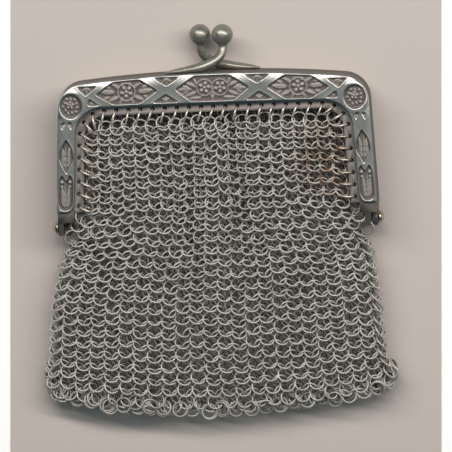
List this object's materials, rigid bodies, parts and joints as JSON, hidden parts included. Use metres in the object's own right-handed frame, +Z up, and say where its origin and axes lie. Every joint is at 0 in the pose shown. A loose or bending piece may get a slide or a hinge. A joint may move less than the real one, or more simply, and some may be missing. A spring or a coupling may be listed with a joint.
{
  "type": "metal mesh purse",
  "caption": "Small antique coin purse of silver ring mesh on a stamped, flower-ornamented hinged frame with a ball kiss lock, closed and lying on its back.",
  "frame": {"origin": "on the surface that the purse lies on, under the middle of its bounding box", "axes": "+X along the frame's top bar to the right as seen from the front, +Y from the bag towards the clasp, +Z up, out of the front face"},
  "size_m": [0.07, 0.079, 0.009],
  "materials": {
    "jaw_silver": "tarnished silver, worn bright along the raised straps and dark in the sunk panels",
    "clasp_silver": "polished by handling, warm tarnish",
    "rivet_silver": "dull, brownish tarnish",
    "mesh_silver": "bright silver wire rings over dark gaps, with some rusty brown spots"
  },
  "bodies": {
    "root": {"front_jaw": "jaw_silver", "back_jaw": "jaw_silver", "front_clasp": "clasp_silver", "back_clasp": "clasp_silver", "left_hinge_rivet": "rivet_silver", "right_hinge_rivet": "rivet_silver", "mesh_bag": "mesh_silver"}
  },
  "joints": []
}
